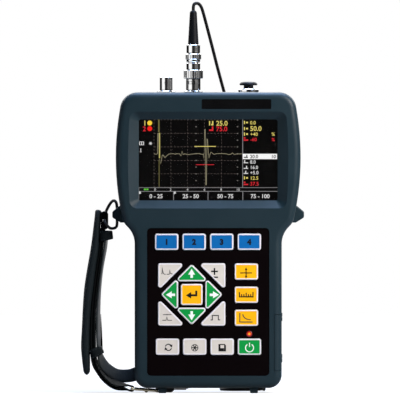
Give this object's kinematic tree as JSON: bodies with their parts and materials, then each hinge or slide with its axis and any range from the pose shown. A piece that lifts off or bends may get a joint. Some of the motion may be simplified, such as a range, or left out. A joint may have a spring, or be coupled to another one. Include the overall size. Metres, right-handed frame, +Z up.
{
  "type": "ultrasonic flaw detector",
  "caption": "Hand-held ultrasonic flaw detector with colour display, keypad, bayonet probe sockets, a plugged probe cable and a padded hand strap.",
  "frame": {"origin": "on the surface it stands on, under the middle of the case", "axes": "+X to the operator's right, +Y from the operator to the back, +Z up"},
  "size_m": [0.1682, 0.1061, 0.2945],
  "materials": {
    "case_plastic": "matt",
    "grey_plastic": "matt",
    "seal_rubber": "matt",
    "window_glass": "gloss",
    "display": "gloss",
    "plate_black": "satin",
    "lamp_red": "gloss",
    "board_green": "satin",
    "battery_wrap": "satin",
    "screw_steel": "satin",
    "port_metal": "satin",
    "port_plastic": "matt",
    "plated_metal": "polished",
    "insulator": "matt",
    "contact_gold": "polished",
    "cable_black": "satin",
    "leather_dark": "matt",
    "webbing_dark": "matt",
    "buckle_gold": "polished",
    "tab_black": "matt",
    "cord_black": "matt",
    "key_blue": "satin",
    "key_yellow": "satin",
    "key_green": "satin",
    "key_white": "satin"
  },
  "bodies": {
    "case": {"front_shell": "case_plastic", "rear_shell": "case_plastic", "shell_seal": "seal_rubber", "display_window": "window_glass", "lcd_panel": "display", "name_plate": "plate_black", "keypad_overlay": "plate_black", "power_led": "lamp_red", "keypad_board": "board_green", "main_board": "board_green", "battery_pack": "battery_wrap", "battery_cover": "case_plastic", "battery_screws": "screw_steel", "shell_screws": "screw_steel", "port_hinge_pins": "screw_steel", "usb_socket": "port_metal", "power_jack": "port_plastic", "free_socket": "plated_metal", "plugged_socket": "plated_metal", "socket_insulators": "insulator", "socket_contacts": "contact_gold", "socket_nuts": "plated_metal", "plug_body": "plated_metal", "plug_clamp": "plated_metal", "cable_boot": "seal_rubber", "probe_cable": "cable_black", "cable_coil": "cable_black", "probe_plug": "plated_metal", "aux_socket": "plated_metal", "strap_pad": "leather_dark", "strap_webbing": "webbing_dark", "strap_lining": "leather_dark", "strap_keepers": "leather_dark", "strap_buckle": "buckle_gold", "strap_anchor": "tab_black", "strap_cord": "cord_black"},
    "coupling": {"coupling_nut": "plated_metal"},
    "cap": {"dust_plug": "seal_rubber"},
    "door": {"port_door": "case_plastic"},
    "stand": {"kickstand": "grey_plastic"},
    "key_soft_1_body": {"key_soft_1": "key_blue"},
    "key_soft_2_body": {"key_soft_2": "key_blue"},
    "key_soft_3_body": {"key_soft_3": "key_blue"},
    "key_soft_4_body": {"key_soft_4": "key_blue"},
    "key_echo_body": {"key_echo": "key_white"},
    "key_gain_body": {"key_gain": "key_white"},
    "key_pulse_body": {"key_pulse": "key_white"},
    "key_gate_body": {"key_gate": "key_white"},
    "key_up_body": {"key_up": "key_green"},
    "key_right_body": {"key_right": "key_green"},
    "key_down_body": {"key_down": "key_green"},
    "key_left_body": {"key_left": "key_green"},
    "key_enter_body": {"key_enter": "key_yellow"},
    "key_cursor_body": {"key_cursor": "key_yellow"},
    "key_calibrate_body": {"key_calibrate": "key_yellow"},
    "key_curve_body": {"key_curve": "key_yellow"},
    "key_auto_body": {"key_auto": "key_white"},
    "key_freeze_body": {"key_freeze": "key_white"},
    "key_save_body": {"key_save": "key_white"},
    "key_power_body": {"key_power": "key_green"}
  },
  "joints": [
    {"name": "press_soft_1", "type": "slide", "parent": "case", "child": "key_soft_1_body", "axis": [0, 1, 0], "range_m": [0, 0.0008], "stiffness_N_per_m": 600},
    {"name": "press_soft_2", "type": "slide", "parent": "case", "child": "key_soft_2_body", "axis": [0, 1, 0], "range_m": [0, 0.0008], "stiffness_N_per_m": 600},
    {"name": "press_soft_3", "type": "slide", "parent": "case", "child": "key_soft_3_body", "axis": [0, 1, 0], "range_m": [0, 0.0008], "stiffness_N_per_m": 600},
    {"name": "press_soft_4", "type": "slide", "parent": "case", "child": "key_soft_4_body", "axis": [0, 1, 0], "range_m": [0, 0.0008], "stiffness_N_per_m": 600},
    {"name": "press_echo", "type": "slide", "parent": "case", "child": "key_echo_body", "axis": [0, 1, 0], "range_m": [0, 0.0008], "stiffness_N_per_m": 600},
    {"name": "press_gain", "type": "slide", "parent": "case", "child": "key_gain_body", "axis": [0, 1, 0], "range_m": [0, 0.0008], "stiffness_N_per_m": 600},
    {"name": "press_pulse", "type": "slide", "parent": "case", "child": "key_pulse_body", "axis": [0, 1, 0], "range_m": [0, 0.0008], "stiffness_N_per_m": 600},
    {"name": "press_gate", "type": "slide", "parent": "case", "child": "key_gate_body", "axis": [0, 1, 0], "range_m": [0, 0.0008], "stiffness_N_per_m": 600},
    {"name": "press_up", "type": "slide", "parent": "case", "child": "key_up_body", "axis": [0, 1, 0], "range_m": [0, 0.0008], "stiffness_N_per_m": 600},
    {"name": "press_right", "type": "slide", "parent": "case", "child": "key_right_body", "axis": [0, 1, 0], "range_m": [0, 0.0008], "stiffness_N_per_m": 600},
    {"name": "press_down", "type": "slide", "parent": "case", "child": "key_down_body", "axis": [0, 1, 0], "range_m": [0, 0.0008], "stiffness_N_per_m": 600},
    {"name": "press_left", "type": "slide", "parent": "case", "child": "key_left_body", "axis": [0, 1, 0], "range_m": [0, 0.0008], "stiffness_N_per_m": 600},
    {"name": "press_enter", "type": "slide", "parent": "case", "child": "key_enter_body", "axis": [0, 1, 0], "range_m": [0, 0.0008], "stiffness_N_per_m": 600},
    {"name": "press_cursor", "type": "slide", "parent": "case", "child": "key_cursor_body", "axis": [0, 1, 0], "range_m": [0, 0.0008], "stiffness_N_per_m": 600},
    {"name": "press_calibrate", "type": "slide", "parent": "case", "child": "key_calibrate_body", "axis": [0, 1, 0], "range_m": [0, 0.0008], "stiffness_N_per_m": 600},
    {"name": "press_curve", "type": "slide", "parent": "case", "child": "key_curve_body", "axis": [0, 1, 0], "range_m": [0, 0.0008], "stiffness_N_per_m": 600},
    {"name": "press_auto", "type": "slide", "parent": "case", "child": "key_auto_body", "axis": [0, 1, 0], "range_m": [0, 0.0008], "stiffness_N_per_m": 600},
    {"name": "press_freeze", "type": "slide", "parent": "case", "child": "key_freeze_body", "axis": [0, 1, 0], "range_m": [0, 0.0008], "stiffness_N_per_m": 600},
    {"name": "press_save", "type": "slide", "parent": "case", "child": "key_save_body", "axis": [0, 1, 0], "range_m": [0, 0.0008], "stiffness_N_per_m": 600},
    {"name": "press_power", "type": "slide", "parent": "case", "child": "key_power_body", "axis": [0, 1, 0], "range_m": [0, 0.0008], "stiffness_N_per_m": 600},
    {"name": "coupling_turn", "type": "hinge", "parent": "case", "child": "coupling", "pos_m": [-0.0112, 0.008, 0.235], "axis": [0, 0, 1], "range_deg": [0, 78]},
    {"name": "dust_plug_lift", "type": "slide", "parent": "case", "child": "cap", "axis": [0, 0, 1], "range_m": [0, 0.01]},
    {"name": "door_swing", "type": "hinge", "parent": "case", "child": "door", "pos_m": [0.05415, 0.0062, 0.038], "axis": [0, 0, 1], "range_deg": [0, 100]},
    {"name": "stand_swing", "type": "hinge", "parent": "case", "child": "stand", "pos_m": [0, 0.0218, 0.116], "axis": [1, 0, 0], "range_deg": [0, 40]}
  ]
}
